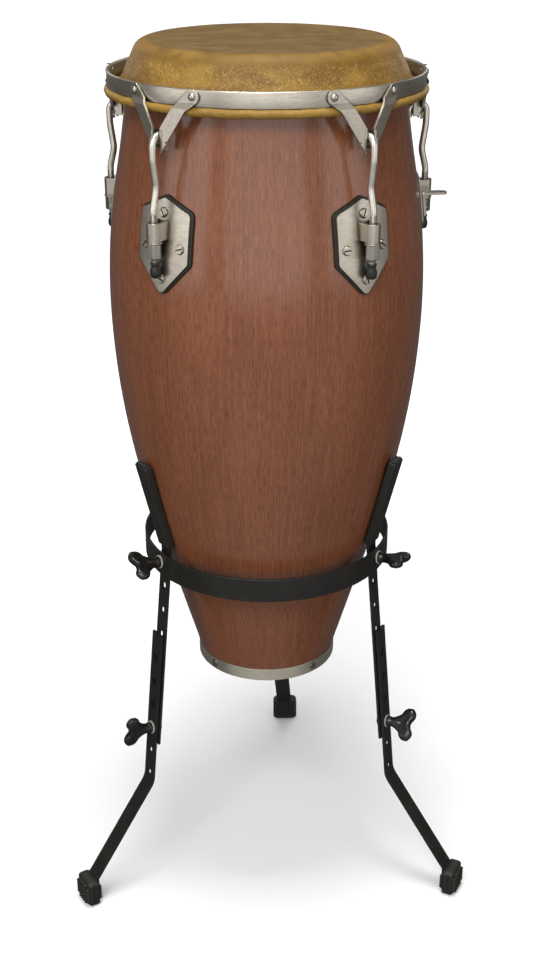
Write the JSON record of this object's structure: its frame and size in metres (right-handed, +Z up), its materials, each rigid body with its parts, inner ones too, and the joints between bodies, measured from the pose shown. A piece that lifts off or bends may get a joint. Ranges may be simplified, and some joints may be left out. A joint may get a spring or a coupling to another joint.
{
  "type": "conga drum on a basket stand",
  "caption": "Barrel-shaped hand drum with a hide head tuned by hooked rods, resting in a three-legged basket stand with swivelling, height-adjustable legs.",
  "frame": {"origin": "on the drum's axis at floor level, in the middle of the stand's footprint", "axes": "+Z up along the drum's axis, -Y towards the player's side, +X to the right of it"},
  "size_m": [0.469, 0.4356, 0.985],
  "materials": {
    "shell_wood": "reddish-brown stained hardwood staves under satin lacquer",
    "head_hide": "golden-brown rawhide, mottled, hairy fibres on the collar",
    "pewter_metal": "brushed antique pewter plating",
    "bright_steel": "satin nickel plate",
    "zinc_steel": "zinc plate",
    "black_rubber": "matt black moulded rubber",
    "black_coat": "satin black powder coat",
    "knob_plastic": "glossy black moulded plastic",
    "nylon_washer": "natural white nylon"
  },
  "bodies": {
    "stand": {"stand_ring": "black_coat", "ring_washers": "nylon_washer"},
    "drum": {"shell": "shell_wood", "head_skin": "head_hide", "bottom_band": "pewter_metal", "bottom_band_screws": "zinc_steel", "lug_gaskets": "black_rubber", "lug_plate_1": "pewter_metal", "lug_plate_2": "pewter_metal", "lug_plate_3": "pewter_metal", "lug_plate_4": "pewter_metal", "lug_plate_5": "pewter_metal", "lug_bolts": "pewter_metal", "lug_bolt_nuts": "zinc_steel", "receiver_washers": "pewter_metal", "accessory_bracket": "pewter_metal"},
    "rim": {"rim_band": "pewter_metal", "rim_yokes": "pewter_metal", "yoke_rivets": "bright_steel", "hook_pins": "bright_steel", "tension_rod_1": "bright_steel", "tension_rod_2": "bright_steel", "tension_rod_3": "bright_steel", "tension_rod_4": "bright_steel", "tension_rod_5": "bright_steel", "rod_tips": "black_rubber", "flesh_hoop": "zinc_steel", "tucked_hide": "head_hide"},
    "tuning_nut_1": {"tuning_nut_1": "pewter_metal"},
    "tuning_nut_2": {"tuning_nut_2": "pewter_metal"},
    "tuning_nut_3": {"tuning_nut_3": "pewter_metal"},
    "tuning_nut_4": {"tuning_nut_4": "pewter_metal"},
    "tuning_nut_5": {"tuning_nut_5": "pewter_metal"},
    "leg_left": {"upper_bar_left": "black_coat", "arm_pad_left": "black_rubber", "ring_bolt_left": "zinc_steel"},
    "ring_knob_left": {"ring_knob_left": "knob_plastic"},
    "lower_leg_left": {"lower_leg_left": "black_coat", "foot_left": "black_rubber", "leg_bolt_left": "zinc_steel", "leg_washer_left": "nylon_washer"},
    "leg_knob_left": {"leg_knob_left": "knob_plastic"},
    "leg_right": {"upper_bar_right": "black_coat", "arm_pad_right": "black_rubber", "ring_bolt_right": "zinc_steel"},
    "ring_knob_right": {"ring_knob_right": "knob_plastic"},
    "lower_leg_right": {"lower_leg_right": "black_coat", "foot_right": "black_rubber", "leg_bolt_right": "zinc_steel", "leg_washer_right": "nylon_washer"},
    "leg_knob_right": {"leg_knob_right": "knob_plastic"},
    "leg_rear": {"upper_bar_rear": "black_coat", "arm_pad_rear": "black_rubber", "ring_bolt_rear": "zinc_steel"},
    "ring_knob_rear": {"ring_knob_rear": "knob_plastic"},
    "lower_leg_rear": {"lower_leg_rear": "black_coat", "foot_rear": "black_rubber", "leg_bolt_rear": "zinc_steel", "leg_washer_rear": "nylon_washer"},
    "leg_knob_rear": {"leg_knob_rear": "knob_plastic"}
  },
  "joints": [
    {"name": "drum_lift", "type": "slide", "parent": "stand", "child": "drum", "axis": [0, 0, 1], "range_m": [0, 0.3]},
    {"name": "rim_tension", "type": "slide", "parent": "drum", "child": "rim", "axis": [0, 0, -1], "range_m": [-0.0035, 0.006]},
    {"name": "tuning_nut_1_turn", "type": "hinge", "parent": "drum", "child": "tuning_nut_1", "pos_m": [0.10273, -0.14781, 0.803], "axis": [0, 0, 1], "range_deg": [-1030, 1750]},
    {"name": "tuning_nut_2_turn", "type": "hinge", "parent": "drum", "child": "tuning_nut_2", "pos_m": [0.17232, 0.05203, 0.803], "axis": [0, 0, 1], "range_deg": [-1030, 1750]},
    {"name": "tuning_nut_3_turn", "type": "hinge", "parent": "drum", "child": "tuning_nut_3", "pos_m": [0.00377, 0.17996, 0.803], "axis": [0, 0, 1], "range_deg": [-1030, 1750]},
    {"name": "tuning_nut_4_turn", "type": "hinge", "parent": "drum", "child": "tuning_nut_4", "pos_m": [-0.16999, 0.0592, 0.803], "axis": [0, 0, 1], "range_deg": [-1030, 1750]},
    {"name": "tuning_nut_5_turn", "type": "hinge", "parent": "drum", "child": "tuning_nut_5", "pos_m": [-0.10883, -0.14338, 0.803], "axis": [0, 0, 1], "range_deg": [-1030, 1750]},
    {"name": "leg_swivel_left", "type": "hinge", "parent": "stand", "child": "leg_left", "pos_m": [-0.11424, -0.07306, 0.427], "axis": [-0.8387, -0.5364, 0.0941], "range_deg": [-20, 20]},
    {"name": "ring_knob_left_turn", "type": "hinge", "parent": "leg_left", "child": "ring_knob_left", "pos_m": [-0.11424, -0.07306, 0.427], "axis": [-0.8387, -0.5364, 0.0941], "continuous": true},
    {"name": "leg_length_left", "type": "slide", "parent": "leg_left", "child": "lower_leg_left", "axis": [0.0793, 0.0507, 0.9956], "range_m": [0, 0.04]},
    {"name": "leg_knob_left_turn", "type": "hinge", "parent": "lower_leg_left", "child": "leg_knob_left", "pos_m": [-0.13127, -0.08395, 0.21305], "axis": [-0.8387, -0.5364, 0.0941], "continuous": true},
    {"name": "leg_swivel_right", "type": "hinge", "parent": "stand", "child": "leg_right", "pos_m": [0.12039, -0.0624, 0.427], "axis": [0.8839, -0.4582, 0.0941], "range_deg": [-20, 20]},
    {"name": "ring_knob_right_turn", "type": "hinge", "parent": "leg_right", "child": "ring_knob_right", "pos_m": [0.12039, -0.0624, 0.427], "axis": [0.8839, -0.4582, 0.0941], "continuous": true},
    {"name": "leg_length_right", "type": "slide", "parent": "leg_right", "child": "lower_leg_right", "axis": [-0.0836, 0.0433, 0.9956], "range_m": [0, 0.04]},
    {"name": "leg_knob_right_turn", "type": "hinge", "parent": "lower_leg_right", "child": "leg_knob_right", "pos_m": [0.13834, -0.07171, 0.21305], "axis": [0.8839, -0.4582, 0.0941], "continuous": true},
    {"name": "leg_swivel_rear", "type": "hinge", "parent": "stand", "child": "leg_rear", "pos_m": [-0.00615, 0.13546, 0.427], "axis": [-0.0452, 0.9945, 0.0941], "range_deg": [-20, 20]},
    {"name": "ring_knob_rear_turn", "type": "hinge", "parent": "leg_rear", "child": "ring_knob_rear", "pos_m": [-0.00615, 0.13546, 0.427], "axis": [-0.0452, 0.9945, 0.0941], "continuous": true},
    {"name": "leg_length_rear", "type": "slide", "parent": "leg_rear", "child": "lower_leg_rear", "axis": [-0.0863, -0.0977, 0.9915], "range_m": [0, 0.04]},
    {"name": "leg_knob_rear_turn", "type": "hinge", "parent": "lower_leg_rear", "child": "leg_knob_rear", "pos_m": [0.01239, 0.15646, 0.21393], "axis": [-0.0452, 0.9945, 0.0941], "continuous": true}
  ],
  "couplings": [
    {"joint": "tuning_nut_1_turn", "follows": "rim_tension", "rad_per_m": 5026.5},
    {"joint": "tuning_nut_2_turn", "follows": "rim_tension", "rad_per_m": 5026.5},
    {"joint": "tuning_nut_3_turn", "follows": "rim_tension", "rad_per_m": 5026.5},
    {"joint": "tuning_nut_4_turn", "follows": "rim_tension", "rad_per_m": 5026.5},
    {"joint": "tuning_nut_5_turn", "follows": "rim_tension", "rad_per_m": 5026.5}
  ]
}
